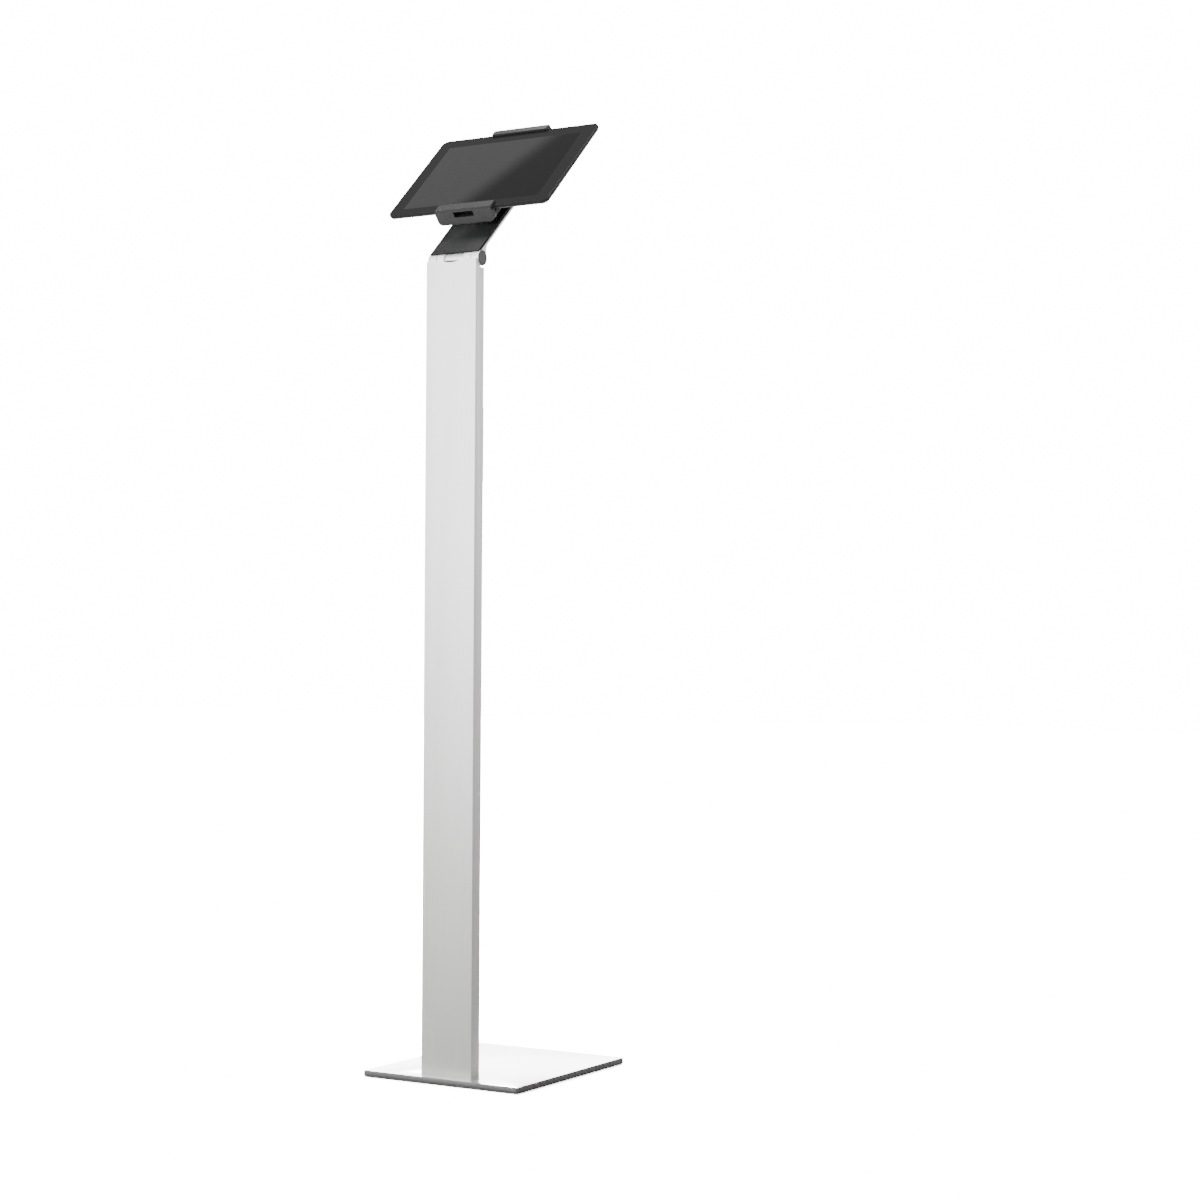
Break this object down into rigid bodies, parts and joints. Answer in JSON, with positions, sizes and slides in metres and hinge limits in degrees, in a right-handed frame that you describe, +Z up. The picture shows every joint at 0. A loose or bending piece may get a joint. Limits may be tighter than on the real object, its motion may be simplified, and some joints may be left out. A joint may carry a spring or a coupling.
{
  "type": "tablet floor stand",
  "caption": "Free-standing floor stand: flat plate base, slotted column, tilting arm and swivelling clamp holding a tablet, with a cable box behind the column.",
  "frame": {"origin": "on the floor under the centre of the base plate", "axes": "+Z up, -Y towards the person who reads the tablet, +X to that person's right as they face the stand"},
  "size_m": [0.247, 0.278, 1.2701],
  "materials": {
    "white_steel": "satin",
    "black_rubber": "matte",
    "zinc_steel": "satin",
    "silver_aluminium": "satin anodised",
    "dark_steel": "satin",
    "bearing_bronze": "satin",
    "grey_plastic": "matte",
    "black_plastic": "matte",
    "pale_plastic": "matte",
    "tablet_metal": "satin",
    "dark_glass": "gloss",
    "green_board": "satin"
  },
  "bodies": {
    "stand": {"base_plate": "white_steel", "base_mat": "black_rubber", "base_screws": "zinc_steel", "foot_blocks": "zinc_steel", "column": "silver_aluminium", "column_lock_screw": "zinc_steel", "hinge_ears": "silver_aluminium", "hinge_axle": "zinc_steel", "axle_tube": "silver_aluminium", "friction_washers": "bearing_bronze", "disc_springs": "zinc_steel", "axle_nuts": "zinc_steel"},
    "arm": {"hinge_bushes": "bearing_bronze", "hinge_end_caps": "grey_plastic", "arm_plate": "silver_aluminium", "arm_front_cover": "grey_plastic", "swivel_hub": "black_plastic", "hub_screws": "zinc_steel", "friction_disc": "bearing_bronze", "swivel_cap": "silver_aluminium"},
    "clamp": {"swivel_plate": "dark_steel", "swivel_plate_screws": "zinc_steel", "swivel_bolt": "zinc_steel", "spring_washer": "zinc_steel", "swivel_nut": "zinc_steel", "clamp_back": "grey_plastic", "clamp_front": "grey_plastic", "clamp_screws": "zinc_steel", "clamp_pads": "black_rubber", "lock_rack": "zinc_steel", "pinion_pin": "zinc_steel"},
    "pinion_group": {"pinion": "pale_plastic"},
    "upper_jaw_group": {"upper_slide": "grey_plastic", "upper_jaw": "grey_plastic", "upper_jaw_screws": "zinc_steel", "upper_jaw_pad": "black_rubber"},
    "lower_jaw_group": {"lower_slide": "grey_plastic", "lower_jaw": "grey_plastic", "lower_jaw_screws": "zinc_steel", "lower_jaw_pads": "black_rubber"},
    "lock_barrel_group": {"lock_barrel": "zinc_steel"},
    "lock_bar_group": {"lock_bar": "zinc_steel"},
    "tablet": {"tablet_back": "tablet_metal", "tablet_glass": "dark_glass", "tablet_display": "black_plastic", "tablet_battery": "black_plastic", "tablet_board": "green_board", "tablet_camera": "dark_glass"},
    "power_button_group": {"power_button": "tablet_metal"},
    "volume_button_group": {"volume_button": "tablet_metal"},
    "cable_box": {"cable_box_carrier": "grey_plastic", "cable_box_screw": "zinc_steel", "cable_box_slot_nut": "zinc_steel"},
    "cable_box_cover_group": {"cable_box_cover": "grey_plastic"}
  },
  "joints": [
    {"name": "arm_tilt", "type": "hinge", "parent": "stand", "child": "arm", "pos_m": [0, -0.107, 1.0675], "axis": [1, 0, 0], "range_deg": [-40, 45]},
    {"name": "clamp_swivel", "type": "hinge", "parent": "arm", "child": "clamp", "pos_m": [0, -0.0042, 1.18348], "axis": [0, -0.6691, 0.7431], "range_deg": [-90, 90]},
    {"name": "upper_jaw_slide", "type": "slide", "parent": "clamp", "child": "upper_jaw_group", "axis": [0, 0.7431, 0.6691], "range_m": [0, 0.015]},
    {"name": "lower_jaw_slide", "type": "slide", "parent": "clamp", "child": "lower_jaw_group", "axis": [0, -0.7431, -0.6691], "range_m": [0, 0.015]},
    {"name": "pinion_spin", "type": "hinge", "parent": "clamp", "child": "pinion_group", "pos_m": [0, -0.01062, 1.19061], "axis": [0, 0.6691, -0.7431], "range_deg": [0, 143.3]},
    {"name": "lock_turn", "type": "hinge", "parent": "lower_jaw_group", "child": "lock_barrel_group", "pos_m": [0.04, -0.09088, 1.13314], "axis": [-1, 0, 0], "range_deg": [0, 90]},
    {"name": "lock_bar_slide", "type": "slide", "parent": "lower_jaw_group", "child": "lock_bar_group", "axis": [0, 0.6691, -0.7431], "range_m": [0, 0.0014]},
    {"name": "tablet_removal", "type": "slide", "parent": "clamp", "child": "tablet", "axis": [-1, 0, 0], "range_m": [0, 0.25]},
    {"name": "power_button_press", "type": "slide", "parent": "tablet", "child": "power_button_group", "axis": [0, -0.7431, -0.6691], "range_m": [0, 0.0004], "stiffness_N_per_m": 1500, "springref_m": -0.0003},
    {"name": "volume_button_press", "type": "slide", "parent": "tablet", "child": "volume_button_group", "axis": [0, -0.7431, -0.6691], "range_m": [0, 0.0004], "stiffness_N_per_m": 1500, "springref_m": -0.0003},
    {"name": "cable_box_height", "type": "slide", "parent": "stand", "child": "cable_box", "axis": [0, 0, 1], "range_m": [-0.6, 0.15]},
    {"name": "cable_box_cover_removal", "type": "slide", "parent": "cable_box", "child": "cable_box_cover_group", "axis": [0, 1, 0], "range_m": [0, 0.06]}
  ],
  "couplings": [
    {"joint": "lower_jaw_slide", "follows": "upper_jaw_slide", "ratio": 1},
    {"joint": "pinion_spin", "follows": "upper_jaw_slide", "rad_per_m": 166.67},
    {"joint": "lock_turn", "follows": "lock_bar_slide", "rad_per_m": 1122}
  ]
}
